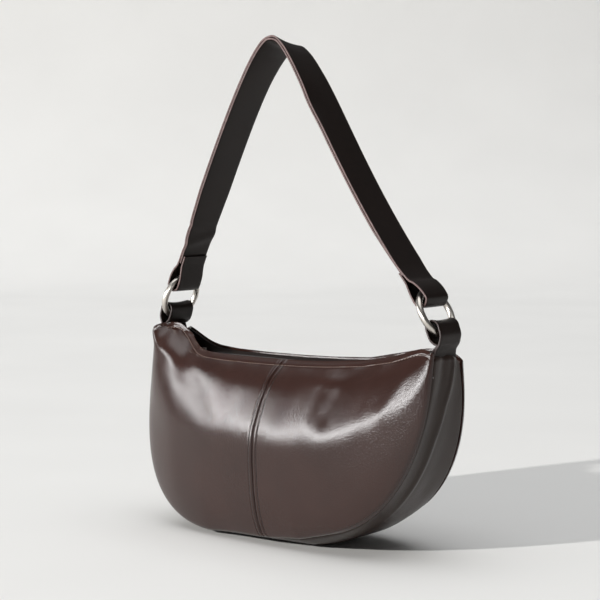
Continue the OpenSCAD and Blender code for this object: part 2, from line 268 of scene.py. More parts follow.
# Soft dents and swellings of the front: start, end, width and height in millimetres
FRONT_MARKS = (
    ((-150, 172), (-100, 164), 5.0, 0.8),
    ((-100, 164), (-55, 157), 5.0, 0.5),
    ((-148, 158), (-95, 146), 9.0, -0.7),
    ((100, 166), (78, 128), 9.0, -1.3),
    ((70, 158), (58, 122), 8.0, 0.7),
    ((118, 160), (110, 126), 8.0, 0.6),
    ((40, 160), (30, 122), 12.0, -0.6),
    ((-34, 158), (-44, 120), 12.0, -0.5),
    ((152, 176), (130, 136), 7.0, 0.7),
    ((44, 161), (78, 158), 7.0, 1.5),
    ((-104, 146), (-70, 118), 12.0, -0.6),
    ((-122, 120), (-112, 56), 16.0, 0.6),
    ((120, 60), (60, 24), 12.0, 0.6),
)
BACK_MARKS = (
    ((-140, 156), (-92, 146), 7.0, 1.0),
    ((60, 152), (52, 112), 10.0, -1.2),
    ((-20, 150), (-26, 120), 9.0, 0.8),
    ((120, 150), (104, 112), 10.0, 1.0),
    ((0, 60), (40, 30), 14.0, 0.8),
)
# Small gathers below the mouth's stitches: place along the bag, width and height
GATHERS = (
    (-132, 5, 0.7), (-117, 4, -0.5), (-101, 6, 0.6), (-84, 4, -0.5), (-66, 5, 0.5),
    (-49, 4, -0.6), (-33, 5, 0.5), (-17, 4, -0.4), (16, 5, -0.5), (31, 4, 0.5),
    (47, 6, -0.6), (63, 4, 0.5), (78, 5, -0.7), (92, 4, 0.6), (107, 6, -0.6),
    (121, 4, 0.6), (134, 5, -0.6), (146, 4, 0.5),
)
STITCH_DROP = 5.4
SEAM_ROW = 4.6


def rim_shape(x, below):
    """Height of the turned rim, its stitch row and the gathers under it."""
    rim = 0.28 * roll(below, 1.8) * (1 - roll(below - (STITCH_DROP - 1.6), 1.6))
    row = -0.5 * hill(below, STITCH_DROP, 0.9)
    fade = np.clip(below - STITCH_DROP, 0, None)
    gathers = sum(height * hill(x, place, width) for place, width, height in GATHERS)
    return rim + row + 0.7 * gathers * np.exp(-fade / 8) * (below > STITCH_DROP)


def seam_shape(x):
    """Groove of the middle seam, the ridges beside it and their stitch rows."""
    side = np.abs(x)
    groove = -1.7 * hill(side, 0, 0.95)
    swell = 0.5 * hill(side, 2.7, 1.6)
    rows = -0.6 * hill(side, SEAM_ROW, 0.6)
    return groove + swell + rows


def panel_leather(x, z, below, edge, marks):
    """Depth of a panel's leather with its soft marks, which fade towards its edges."""
    body = seam_depth(z) + SEAM_CLEAR + belly(x, z) + LEATHER * roll(edge, 2.4)
    calm = np.clip((edge - 3) / 22, 0, 1) * np.clip(below / 16, 0, 1)
    height = sum(h * ridge(x, z, start, end, width) for start, end, width, h in marks)
    return body + height * calm


def front_face(x, z):
    """Depth of the front panel's outer face at x, z."""
    below = mouth_edge(x) - z
    edge = edge_distance(x, z)
    leather_depth = panel_leather(x, z, below, edge, FRONT_MARKS)
    corner = np.exp(-(((x + 156) / 13) ** 2) - ((z - 176) / 18) ** 2)
    puff = 3.0 * corner * roll(edge, 9) * np.clip(1 - below / 60, 0, 1)
    rim = rim_shape(x, below) * np.clip(edge / 8, 0, 1)
    seam = seam_shape(x - seam_at(z)) * np.clip(edge / 5, 0, 1)
    return -(leather_depth + rim + puff + seam - drawn_in(x, below))


def back_face(x, z):
    """Depth of the back panel's outer face at x, z."""
    below = mouth_edge(x, 1) - z
    edge = edge_distance(x, z)
    rim = rim_shape(-x, below) * np.clip(edge / 8, 0, 1)
    return panel_leather(x, z, below, edge, BACK_MARKS) + rim - drawn_in(x, below, 1)


def steps(*runs):
    """Stations made of runs of (start, end, spacing), each start left out after the first."""
    out = [runs[0][0]]
    for start, end, spacing in runs:
        count = max(1, round(abs(end - start) / spacing))
        out += [start + (end - start) * i / count for i in range(1, count + 1)]
    return np.array(out)


# Mesh tools


def deselect():
    """Deselects everything."""
    bpy.ops.object.select_all(action="DESELECT")


def make_active(obj):
    """Selects obj alone and makes it active."""
    deselect()
    obj.select_set(True)
    bpy.context.view_layer.objects.active = obj


def grid(name, columns, rows, place):
    """Grid primitive whose vertices are moved to place(u, v), with u and v from 0 to 1."""
    deselect()
    bpy.ops.mesh.primitive_grid_add(x_subdivisions=columns, y_subdivisions=rows, size=2)
    obj = bpy.context.object
    obj.name = obj.data.name = name
    co = vertex_places(obj)
    u = np.clip((co[:, 0] + 1) / 2, 0, 1)
    v = np.clip((co[:, 1] + 1) / 2, 0, 1)
    move_vertices(obj, np.stack(place(u, v), 1) * MM)
    return obj


def edit(obj, *calls):
    """Runs edit mode operators on the whole of obj."""
    make_active(obj)
    bpy.ops.object.mode_set(mode="EDIT")
    bpy.ops.mesh.select_all(action="SELECT")
    for call, settings in calls:
        call(**settings)
    bpy.ops.object.mode_set(mode="OBJECT")


def face_out(obj):
    """Turns the faces of a closed mesh outwards."""
    edit(obj, (bpy.ops.mesh.normals_make_consistent, {"inside": False}))


def modify(obj, kind, **settings):
    """Adds a modifier and applies it."""
    make_active(obj)
    modifier = obj.modifiers.new(kind.title(), kind)
    for key, value in settings.items():
        setattr(modifier, key, value)
    bpy.ops.object.modifier_apply(modifier=modifier.name)


def thicken(obj, thickness, **settings):
    """Gives a sheet its thickness, inwards from its outer face."""
    modify(obj, "SOLIDIFY", thickness=thickness * MM, offset=-1.0, **settings)


def round_edges(obj, width):
    """Rounds the sharp edges of a sheet."""
    modify(obj, "BEVEL", width=width * MM, segments=2, limit_method="ANGLE",
           angle_limit=math.radians(60))


def vertex_places(obj):
    """Places of a mesh's vertices, in metres."""
    places = np.empty(3 * len(obj.data.vertices))
    obj.data.vertices.foreach_get("co", places)
    return places.reshape(-1, 3)


def move_vertices(obj, places):
    """Moves a mesh's vertices to these places, in metres."""
    obj.data.vertices.foreach_set("co", places.ravel())
    obj.data.update()


def smooth(obj, angle=40.0):
    """Shades smooth all edges flatter than the angle."""
    make_active(obj)
    bpy.ops.object.shade_smooth_by_angle(angle=math.radians(angle))


def finish_piece(obj, body, slot, material, *replaced, angle=40.0):
    """Shades a piece, gives it its material, hangs it on its body's empty if it has one, and hides
    the CAD nodes it replaces.
    """
    smooth(obj, angle)
    obj.data.materials.clear()
    obj.data.materials.append(material)
    if body is not None:
        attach(obj, body)
    if replaced:
        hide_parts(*replaced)
    return obj


def repeat(name, base, places):
    """One mesh of many copies of base, each at (origin, x axis, y axis, z axis) in millimetres."""
    mesh = base.data
    co = np.array([v.co for v in mesh.vertices], float).reshape(-1, 3)
    faces = [list(p.vertices) for p in mesh.polygons]
    points, polygons = [], []
    for i, (origin, ax, ay, az) in enumerate(places):
        basis = np.array([ax, ay, az], float)
        points.append(co @ basis + np.array(origin, float) * MM)
        polygons += [[k + i * len(co) for k in f] for f in faces]
    made = bpy.data.meshes.new(name)
    made.from_pydata(np.vstack(points).tolist(), [], polygons)
    made.update()
    obj = bpy.data.objects.new(name, made)
    bpy.context.scene.collection.objects.link(obj)
    bpy.data.objects.remove(base)
    return obj


def base_stitch(length, width):
    """One stitch of thread along X, lying on its local XY plane."""
    deselect()
    bpy.ops.mesh.primitive_uv_sphere_add(segments=6, ring_count=4, radius=1)
    obj = bpy.context.object
    bpy.ops.object.mode_set(mode="EDIT")
    bpy.ops.mesh.select_all(action="SELECT")
    bpy.ops.transform.rotate(
        value=math.radians(90), orient_axis="Y", center_override=(0, 0, 0)
    )
    bpy.ops.transform.resize(
        value=(length / 2 * MM, width / 2 * MM, width / 2 * MM), center_override=(0, 0, 0)
    )
    bpy.ops.object.mode_set(mode="OBJECT")
    return obj


def unit(v):
    """The vector at length 1."""
    v = np.array(v, float)
    return v / np.linalg.norm(v)


def stitch_places(points, normals, pitch, share=0.0, slant=0.0):
    """Evenly spaced places along a line of points, each with its way, side and normal."""
    points, normals = np.array(points, float), np.array(normals, float)
    lengths = np.linalg.norm(np.diff(points, axis=0), axis=1)
    run = np.concatenate([[0], np.cumsum(lengths)])
    count = int(run[-1] / pitch)
    out = []
    for i in range(count):
        s = (i + 0.5 + share) * run[-1] / count
        k = min(max(np.searchsorted(run, s) - 1, 0), len(lengths) - 1)
        t = min((s - run[k]) / max(lengths[k], 1e-6), 1)
        p = points[k] + (points[k + 1] - points[k]) * t
        n = unit(normals[k] + (normals[k + 1] - normals[k]) * t)
        way = unit(points[k + 1] - points[k])
        side = unit(np.cross(n, way))
        way = unit(way * math.cos(slant) + side * math.sin(slant))
        side = unit(np.cross(n, way))
        out.append((p, way, side, np.cross(way, side)))
    return out


# Materials


class Nodes:
    """Short hand for building a material's node tree."""

    def __init__(self, name):
        self.material = bpy.data.materials.new(name)
        self.material.use_nodes = True
        self.tree = self.material.node_tree
        self.shader = self.tree.nodes["Principled BSDF"]
        self.coords = self.tree.nodes.new("ShaderNodeTexCoord")

    def add(self, kind, inputs=None, **settings):
        node = self.tree.nodes.new("ShaderNode" + kind)
        for key, value in settings.items():
            setattr(node, key, value)
        for key, value in (inputs or {}).items():
            if isinstance(value, bpy.types.NodeSocket):
                self.tree.links.new(value, node.inputs[key])
            else:
                node.inputs[key].default_value = value
        return node

    def mapped(self, scale, where="Object"):
        return self.add(
            "Mapping", {"Vector": self.coords.outputs[where], "Scale": scale}
        ).outputs["Vector"]

    def noise(self, scale, detail=4.0, rough=0.5, vector=None):
        vector = vector or self.coords.outputs["Object"]
        return self.add(
            "TexNoise",
            {"Vector": vector, "Scale": scale, "Detail": detail, "Roughness": rough},
        ).outputs["Fac"]

    def span(self, value, low, high, out_low, out_high):
        return self.add(
            "MapRange",
            {"Value": value, "From Min": low, "From Max": high,
             "To Min": out_low, "To Max": out_high},
        ).outputs["Result"]

    def ramp(self, value, *stops):
        node = self.add("ValToRGB", {"Fac": value})
        ramp = node.color_ramp
        ramp.elements[0].position, ramp.elements[0].color = stops[0][0], (*stops[0][1], 1)
        ramp.elements[1].position, ramp.elements[1].color = stops[-1][0], (*stops[-1][1], 1)
        for position, colour in stops[1:-1]:
            ramp.elements.new(position).color = (*colour, 1)
        return node.outputs["Color"]

    def maths(self, operation, a, b=0.0):
        return self.add("Math", {0: a, 1: b}, operation=operation).outputs[0]

    def bump(self, height, strength, distance, normal=None):
        inputs = {"Height": height, "Strength": strength, "Distance": distance}
        if normal is not None:
            inputs["Normal"] = normal
        return self.add("Bump", inputs).outputs["Normal"]

    def set(self, **values):
        for key, value in values.items():
            socket = self.shader.inputs[key.replace("_", " ")]
            if isinstance(value, bpy.types.NodeSocket):
                self.tree.links.new(value, socket)
            else:
                socket.default_value = value
        return self.material


def shade(colour, factor):
    """The colour made lighter or darker by the factor."""
    return tuple(min(1.0, c * factor) for c in colour)


def leather(name, colour, roughness, grain, grain_depth, level, coat):
    """Smooth leather: fine pebble grain, faint pull-up marks and uneven gloss."""
    n = Nodes(name)
    broad = n.noise(14, 3)
    fine = n.noise(620, 2, 0.6)
    cells = n.add(
        "TexVoronoi",
        {"Vector": n.coords.outputs["Object"], "Scale": 1000 / grain, "Randomness": 1.0},
        feature="DISTANCE_TO_EDGE",
    ).outputs["Distance"]
    creases = n.span(cells, 0.0, 0.18, 0.0, 1.0)
    tone = n.ramp(
        broad, (0.3, shade(colour, 0.82)), (0.55, colour), (0.8, shade(colour, 1.16))
    )
    gloss = n.span(n.noise(45, 4), 0.25, 0.75, roughness - 0.03, roughness + 0.05)
    pebbles = n.bump(fine, 1.0, grain_depth * 0.001)
    surface = n.bump(creases, grain_depth, 0.0001, pebbles)
    return n.set(
        Base_Color=tone,
        Roughness=gloss,
        Normal=surface,
        Coat_Normal=surface,
        Specular_IOR_Level=level,
        Coat_Weight=coat,
        Coat_Roughness=0.15,
    )


def painted_edge(name, colour):
    """Edge paint over cut leather: satin, with small waves and pale rubbed spots."""
    n = Nodes(name)
    wear = n.ramp(n.noise(160, 4), (0.35, shade(colour, 0.8)), (0.7, shade(colour, 1.25)))
    return n.set(
        Base_Color=wear,
        Roughness=n.span(n.noise(300, 2), 0.3, 0.7, 0.38, 0.5),
        Normal=n.bump(n.noise(500, 3), 0.25, 0.0003),
    )


def thread(name, colour):
    """Waxed sewing thread with its twist."""
    n = Nodes(name)
    twist = n.add(
        "TexWave", {"Vector": n.mapped((1, 1, 1)), "Scale": 900, "Distortion": 0.0},
        bands_direction="DIAGONAL",
    ).outputs["Fac"]
    tone = n.ramp(n.noise(400, 2), (0.3, shade(colour, 0.75)), (0.7, shade(colour, 1.2)))
    return n.set(Base_Color=tone, Roughness=0.42, Normal=n.bump(twist, 0.4, 0.0002))


def nickel(name, colour, roughness):
    """Satin nickel with fine brushing, small scratches and duller worn spots."""
    n = Nodes(name)
    brushed = n.noise(220, 6, 0.7, n.mapped((1.0, 9.0, 1.0)))
    spots = n.noise(55, 5)
    tone = n.ramp(spots, (0.3, shade(colour, 0.86)), (0.6, colour), (0.85, shade(colour, 1.1)))
    return n.set(
        Base_Color=tone,
        Metallic=1.0,
        Roughness=n.span(spots, 0.3, 0.75, roughness - 0.05, roughness + 0.12),
        Normal=n.bump(brushed, 0.12, 0.0002),
    )


def cloth(name, colour, threads):
    """Plain weave along the piece's own UV map."""
    n = Nodes(name)
    warp, weft = (
        n.add(
            "TexWave", {"Vector": n.coords.outputs["UV"], "Scale": scale, "Distortion": 0.4},
            bands_direction=way,
        ).outputs["Fac"]
        for scale, way in zip(threads, "XY")
    )
    weave = n.maths("MAXIMUM", warp, weft)
    tone = n.ramp(
        n.maths("MULTIPLY", weave, n.span(n.noise(30, 3), 0.2, 0.8, 0.75, 1.0)),
        (0.1, shade(colour, 0.6)), (0.9, shade(colour, 1.1)),
    )
    return n.set(Base_Color=tone, Roughness=0.82, Normal=n.bump(weave, 0.5, 0.0002),
                 Sheen_Weight=0.15)


def board(name, colour):
    """Pressed board with flecks of fibre."""
    n = Nodes(name)
    tone = n.ramp(n.noise(260, 5), (0.35, shade(colour, 0.75)), (0.7, shade(colour, 1.15)))
    return n.set(Base_Color=tone, Roughness=0.88, Normal=n.bump(n.noise(500, 4), 0.4, 0.0003))


# Settings


def colour_prop(name, default, description):
    """A colour that a user can change."""
    return bpy.props.FloatVectorProperty(
        name=name, description=description, default=default, subtype="COLOR",
        size=3, min=0.0, max=1.0,
    )


class LeatherSettings(bpy.types.PropertyGroup):
    """Leather of the body, gusset and strap"""

    body_colour: colour_prop("Body colour", (0.035, 0.0152, 0.0119), "Leather of the panels")
    # The gusset's colour is painted shade: the panels' leather set darker and less red, for a side
    # that faces away from the key lamp
    shaded_gusset_colour: colour_prop("Shaded gusset colour", (0.026, 0.0145, 0.0105), "Leather of the gusset")
    # The strap's colour is painted shade: the body's leather set about three times darker, for a
    # strap that faces away from the key lamp; the tabs and the mouth facings take it too
    shaded_strap_colour: colour_prop("Shaded strap colour", (0.012, 0.0068, 0.0052), "Leather of strap and tabs")
    edge_colour: colour_prop("Edge colour", (0.15, 0.095, 0.09), "Paint on the strap's cut edges")
    thread_colour: colour_prop("Thread colour", (0.24, 0.17, 0.14), "Thread of the mouth's row")
    seam_thread_colour: colour_prop(
        "Seam thread colour", (0.012, 0.008, 0.007), "Thread beside the middle seam"
    )
    roughness: bpy.props.FloatProperty(
        name="Roughness", description="Mean roughness of the body leather",
        default=0.22, min=0.1, max=0.9, subtype="FACTOR",
    )
    grain: bpy.props.FloatProperty(
        name="Grain size", description="Size of one pebble of the grain, in millimetres",
        default=1.1, min=0.4, max=4.0,
    )


class StitchSettings(bpy.types.PropertyGroup):
    """Sewing of the mouth and the middle seam"""

    mouth_pitch: bpy.props.FloatProperty(
        name="Mouth pitch", description="Distance between the mouth's stitches",
        default=3.1 * MM, min=2 * MM, max=6 * MM, unit="LENGTH", precision=4,
    )
    seam_pitch: bpy.props.FloatProperty(
        name="Seam pitch", description="Distance between the middle seam's stitches",
        default=3.0 * MM, min=2 * MM, max=6 * MM, unit="LENGTH", precision=4,
    )
    thread_width: bpy.props.FloatProperty(
        name="Thread width", description="Thickness of the sewing thread",
        default=0.75 * MM, min=0.3 * MM, max=1.5 * MM, unit="LENGTH", precision=4,
    )


class HardwareSettings(bpy.types.PropertyGroup):
    """Metal of the rings and the zip"""

    ring_colour: colour_prop("Ring colour", (0.62, 0.58, 0.53), "Nickel of the rings")
    zip_colour: colour_prop("Zip colour", (0.50, 0.46, 0.41), "Nickel of the zip")
    tape_colour: colour_prop("Tape colour", (0.030, 0.023, 0.021), "Cloth of the zip's tape")
    lining_colour: colour_prop("Lining colour", (0.26, 0.20, 0.15), "Cloth of the lining")
    ring_roughness: bpy.props.FloatProperty(
        name="Ring roughness", description="Mean roughness of the rings",
        default=0.27, min=0.05, max=0.8, subtype="FACTOR",
    )


class StageSettings(bpy.types.PropertyGroup):
    """Floor and lights"""

    floor_colour: colour_prop("Floor colour", (0.79, 0.785, 0.77), "Pale floor and backdrop")
    key_azimuth: bpy.props.FloatProperty(
        name="Key azimuth", description="Where the main lamp stands, from the front to the right",
        default=math.radians(-20), subtype="ANGLE",
    )
    key_elevation: bpy.props.FloatProperty(
        name="Key elevation", description="Height of the main lamp above the floor",
        default=math.radians(20), subtype="ANGLE",
    )
    key_power: bpy.props.FloatProperty(
        name="Key power", description="Power of the main lamp in watts", default=600.0, min=0.0,
    )
    strip_power: bpy.props.FloatProperty(
        name="Strip power", description="Power of the wide strip light in watts",
        default=49.0, min=0.0,
    )
    backdrop_power: bpy.props.FloatProperty(
        name="Backdrop power", description="Power of the lamp that lights only the backdrop",
        default=5.0, min=0.0,
    )
    sky_strength: bpy.props.FloatProperty(
        name="Sky strength", description="Strength of the soft light from the ceiling",
        default=1.85, min=0.0,
    )


SETTINGS = {
    "bag_leather": LeatherSettings,
    "bag_stitching": StitchSettings,
    "bag_hardware": HardwareSettings,
    "bag_stage": StageSettings,
}
_materials = {}


def material(name):
    """The named finish, made on first use."""
    if name in _materials:
        return _materials[name]
    hide = bpy.context.scene.bag_leather
    metal = bpy.context.scene.bag_hardware
    makers = {
        "body_leather": lambda: leather(
            "body_leather", hide.body_colour[:], hide.roughness, hide.grain, 0.13, 0.03, 1.0
        ),
        # Gusset: leather in the gusset's darkened colour, which is painted shade
        "gusset_leather": lambda: leather(
            "gusset_leather", hide.shaded_gusset_colour[:], hide.roughness + 0.14, hide.grain,
            0.14, 0.2, 0.25,
        ),
        # Strap and tabs: leather in the strap's darkened colour, which is painted shade
        "strap_leather": lambda: leather(
            "strap_leather", hide.shaded_strap_colour[:], hide.roughness + 0.16, hide.grain,
            0.14, 0.15, 0.08,
        ),
        # Mouth facings: leather in the strap's darkened colour, which is painted shade
        "shaded_facing_leather": lambda: leather(
            "shaded_facing_leather", hide.shaded_strap_colour[:], 0.55, hide.grain, 0.2, 0.2, 0.0
        ),
        "edge_paint": lambda: painted_edge("edge_paint", hide.edge_colour[:]),
        "tab_edge": lambda: painted_edge("tab_edge", shade(hide.edge_colour[:], 0.3)),
        "thread": lambda: thread("thread", hide.thread_colour[:]),
        "seam_thread": lambda: thread("seam_thread", hide.seam_thread_colour[:]),
        "ring_metal": lambda: nickel("ring_metal", metal.ring_colour[:], metal.ring_roughness),
        "zip_metal": lambda: nickel("zip_metal", metal.zip_colour[:], 0.32),
        "zip_tape": lambda: cloth("zip_tape", metal.tape_colour[:], (300.0, 30.0)),
        "lining": lambda: cloth("lining", metal.lining_colour[:], (240.0, 160.0)),
        "board": lambda: board("board", (0.45, 0.38, 0.30)),
    }
    _materials[name] = makers[name]()
    return _materials[name]


# Body


def panel_stations(side):
    """Places along the bag: close together beside the middle seam and at the end."""
    near = steps((0, 1.2, 0.3), (1.2, 6.4, 0.35), (6.4, 10, 0.8), (10, 22, 1.5))
    angles = np.linspace(angle_of(side * 22.0), side * math.pi / 2, 82)[1:]
    return np.sort(np.concatenate([near * side, HALF * reach(angles)]))


def panel_rows():
    """Shares of the height from the round edge up to the band under the mouth."""
    return np.linspace(0, 1, 56) ** 1.5


def panel_place(stations, face, front):
    """Place function of a panel: rows run up from the seam, the last ones by their depth."""
    rows = panel_rows()
    total = len(rows) + len(RIM_DEPTHS) - 1

    def place(u, v):
        i = np.rint(u * (len(stations) - 1)).astype(int)
        j = np.rint(v * total).astype(int)
        x = stations[i]
        low, top = low_edge(x) + seam_lift(x), mouth_edge(x, -1 if front else 1)
        rise = np.maximum(top - RIM_DEPTHS[0] - low, 1.0)
        z = np.where(
            j < len(rows),
            low + rise * rows[np.minimum(j, len(rows) - 1)],
            top - RIM_DEPTHS[np.clip(j - len(rows) + 1, 0, len(RIM_DEPTHS) - 1)],
        )
        if not front:
            return x, face(x, z), z
        across = x + seam_shift(x, z)
        return across - end_puff(x, z), face(across, z), z

    return place, len(stations) - 1, total


def panel_piece(name, stations, face, flip):
    """One leather panel with its thickness and softly rounded top edge."""
    place, columns, rows = panel_place(stations, face, not flip)
    obj = grid(name, columns, rows, place)
    if flip:
        edit(obj, (bpy.ops.mesh.flip_normals, {}))
    thicken(obj, LEATHER, use_even_offset=False)
    round_edges(obj, 0.7)
    flush_ends(obj, 0 if flip else 1)
    return obj


def flush_ends(obj, puffed):
    """Brings what stands out past the ends of the bag flush with them."""
    places = vertex_places(obj)
    left = HALF + puffed * end_puff(-HALF, places[:, 2] / MM)
    places[:, 0] = np.clip(places[:, 0], -left * MM, HALF * MM)
    move_vertices(obj, places)


class BAG_OT_front_panels(bpy.types.Operator):
    """Two leather panels of the front, sewn together in the middle"""

    bl_idname = "bag.front_panels"
    bl_label = "Front panels"

    def execute(self, context):
        for side, label in ((-1, "left"), (1, "right")):
            obj = panel_piece(f"front_leather_{label}", panel_stations(side), front_face, False)
            finish_piece(obj, "bag", "panel_leather", material("body_leather"),
                         f"front_panel_{label}")
        return {"FINISHED"}


class BAG_OT_back_panel(bpy.types.Operator):
    """Leather panel of the back, in one piece"""

    bl_idname = "bag.back_panel"
    bl_label = "Back panel"

    def execute(self, context):
        angles = np.radians(np.linspace(-90, 90, 161))
        obj = panel_piece("back_leather", HALF * reach(angles), back_face, True)
        finish_piece(obj, "bag", "panel_leather", material("body_leather"), "back_panel")
        return {"FINISHED"}


def outline_points(inset, top, count):
    """Points down the left end, round the bottom and up the right end, evenly spaced."""
    x = (HALF - inset) * reach(np.radians(np.linspace(-90, 90, 721)))
    z = low_edge(x, inset)
    x = np.concatenate([[x[0]] * 9, x, [x[-1]] * 9])
    z = np.concatenate([np.linspace(top, CENTRE, 10)[:-1], z, np.linspace(CENTRE, top, 10)[1:]])
    run = np.concatenate([[0], np.cumsum(np.hypot(np.diff(x), np.diff(z)))])
    s = np.linspace(0, run[-1], count)
    return np.interp(s, run, x), np.interp(s, run, z)


def outline_normals(x, z):
    """Outward unit normals of the outline."""
    dx, dz = np.gradient(x), np.gradient(z)
    length = np.hypot(dx, dz)
    return dz / length, -dx / length


class BAG_OT_gusset(bpy.types.Operator):
    """Leather band that runs round the bag between its two panels"""

    bl_idname = "bag.gusset"
    bl_label = "Gusset"

    def execute(self, context):
        count = 241
        px, pz = outline_points(0, GUSSET_TOP, count)
        nx, nz = outline_normals(px, pz)
        across = np.sort(
            np.concatenate([1 - EDGE_SHARES, EDGE_SHARES, np.linspace(0.17, 0.83, 45)])
        )

        def place(u, v):
            i = np.rint(u * (count - 1)).astype(int)
            w = across[np.rint(v * (len(across) - 1)).astype(int)]
            z0 = pz[i]
            half = seam_depth(z0) - 0.25
            y = (2 * w - 1) * half
            from_seam = half - np.abs(y)
            high = np.clip((z0 - 22) / 40, 0, 1)
            sunk = 2.6 * (1 - roll(from_seam, 3.2))
            fold = half * np.interp(z0, CREASE_HEIGHTS, CREASE_SHARES)
            crease = 1.5 * hill(y, fold, 3.4) * np.clip((186 - z0) / 12, 0, 1)
            hollow = -1.6 * hill(y, (fold - half) / 2, 0.28 * half)
            middle = -1.0 * hill(y, (fold + half) / 2, 0.4 * half)
            wave = 0.3 * np.sin(z0 / 21 + y / 30) * np.clip(from_seam / 10, 0, 1)
            turn = foot_turn(px[i], y, half) * np.clip(-nz[i], 0, 1)
            out = high * (crease + hollow + middle + wave) - sunk - turn
            top_roll = 1.6 * (1 - roll(GUSSET_TOP - z0, 2.0))
            out = out - top_roll * (np.abs(px[i]) > HALF - 1)
            out = out + end_puff(px[i], z0) * np.clip(0.5 - y / half / 2, 0, 1) ** 1.5
            tip = 9 * np.clip((z0 - 150) / 34, 0, 1) ** 2 * np.clip(y / half, 0, 1) ** 3
            return px[i] + nx[i] * out, y, np.maximum(z0 + nz[i] * out - tip, 0.0)

        obj = grid("gusset_leather", count - 1, len(across) - 1, place)
        face_outward(obj, INSIDE)
        thicken(obj, LEATHER)
        round_edges(obj, 0.6)
        finish_piece(obj, "bag", "gusset_leather", material("gusset_leather"), "gusset")
        return {"FINISHED"}


def face_outward(obj, inside):
    """Turns an open sheet so that its faces point away from the point inside."""
    mesh = obj.data
    total = sum((p.center - inside).dot(p.normal) * p.area for p in mesh.polygons)
    if total < 0:
        edit(obj, (bpy.ops.mesh.flip_normals, {}))


def facing_place(sign):
    """Leather facing from the zip up to the inside of the mouth, longer than its CAD node."""

    def place(u, v):
        x = (2 * u - 1) * MOUTH_HALF
        top = mouth_edge(x, sign) - 2.2
        top_y = seam_depth(top) + belly(x, top) - 1.3 - drawn_in(x, 2.2, sign)
        y = HINGE_Y + 0.4 + (top_y - HINGE_Y - 0.4) * v
        sag = 0.8 * np.sin(v * math.pi) + 0.25 * np.sin(x / 9) * np.sin(v * math.pi)
        z = ZIP_Z + 0.2 + (top - ZIP_Z - 0.2) * v**1.25
        return x, sign * (y + sag * 0.5), z - sag * 0.4

    return place


class BAG_OT_facings(bpy.types.Operator):
    """Leather facings inside the mouth, which hold the zip below its edge"""

    bl_idname = "bag.facings"
    bl_label = "Mouth facings"

    def execute(self, context):
        for sign, label in ((-1, "front"), (1, "rear")):
            obj = grid(f"{label}_shaded_facing_leather", 120, 12, facing_place(sign))
            face_outward(obj, Vector((0, sign * 0.2, -0.3)))
            thicken(obj, 1.3)
            round_edges(obj, 0.4)
            finish_piece(obj, "bag", "panel_leather", material("shaded_facing_leather"),
                         f"{label}_facing")
        return {"FINISHED"}


class BAG_OT_lining(bpy.types.Operator):
    """Lining cloth of the panels and the gusset"""

    bl_idname = "bag.lining"
    bl_label = "Lining"

    def execute(self, context):
        angles = np.radians(np.linspace(-90, 90, 97))
        inset, drop = 2.5, 12.0
        for sign, label in ((-1, "front"), (1, "back")):

            def place(u, v, sign=sign):
                x = (HALF - inset) * reach(angles[np.rint(u * 96).astype(int)])
                low = low_edge(x, inset) + seam_lift(x)
                top = np.minimum(mouth_edge(x, -1), mouth_edge(x, 1)) - drop
                z = low + np.maximum(top - low, 0.5) * (1 - np.cos(np.pi * v)) / 2
                folds = 0.22 * np.sin(x / 7 + 2 * np.sin(z / 23)) * np.sin(np.pi * v)
                y = seam_depth(z) + belly(x, z) - drawn_in(x, mouth_edge(x, sign) - z, sign)
                return x, sign * (y - 1.1 + folds), z

            obj = grid(f"lining_cloth_{label}", 96, 48, place)
            face_outward(obj, INSIDE)
            thicken(obj, LINING_CLOTH)
            finish_piece(obj, "bag", "lining", material("lining"), f"lining_{label}")
        count = 161
        px, pz = outline_points(4.8, CENTRE, count)
        nx, nz = outline_normals(px, pz)

        def band(u, v):
            i = np.rint(u * (count - 1)).astype(int)
            half = seam_depth(pz[i]) - 0.5
            y = (2 * v - 1) * half
            folds = 0.2 * np.sin(y / 6 + pz[i] / 19) * (1 - (2 * v - 1) ** 2) - 0.2
            folds = folds - foot_turn(px[i], y, half) * np.clip(-nz[i], 0, 1)
            return px[i] + nx[i] * folds, y, pz[i] + nz[i] * folds

        obj = grid("lining_cloth_gusset", count - 1, 24, band)
        face_outward(obj, INSIDE)
        thicken(obj, LINING_CLOTH)
        finish_piece(obj, "bag", "lining", material("lining"), "lining_gusset")
        return {"FINISHED"}


class BAG_OT_board(bpy.types.Operator):
    """Board with softened edges that stiffens the foot"""

    bl_idname = "bag.board"
    bl_label = "Foot board"

    def execute(self, context):
        low, high = node_box("foot_board")
        deselect()
        bpy.ops.mesh.primitive_cube_add(size=1)
        obj = bpy.context.object
        obj.name = obj.data.name = "foot_stiffener"
        size = (high - low) * MM
        size[1] *= 0.6
        edit(
            obj,
            (bpy.ops.transform.resize, {"value": tuple(size), "center_override": (0, 0, 0)}),
            (bpy.ops.transform.translate, {"value": tuple(((low + high) / 2 + (0, 5, 1)) * MM)}),
        )
        modify(obj, "BEVEL", width=0.5 * MM, segments=2)
        finish_piece(obj, "bag", "board", material("board"), "foot_board")
        return {"FINISHED"}


# Zip


def tape_piece(name, start, end, sign, outer):
    """Flat woven tape with a cord edge next to the teeth."""

    def place(u, v):
        x = start + (end - start) * u
        y = outer + (TAPE_INNER - outer) * v
        rise = 0.18 * np.sin(x / 6.5) * np.sin(np.pi * v)
        cord = 0.35 * hill(y, TAPE_INNER + 0.4, 0.5)
        return x, sign * y, ZIP_Z + 0.3 + rise * 0.4 + cord

    obj = grid(name, max(8, int((end - start) / 2)), 16, place)
    face_outward(obj, Vector((0, 0, -1)))
    thicken(obj, 0.7)
    return obj


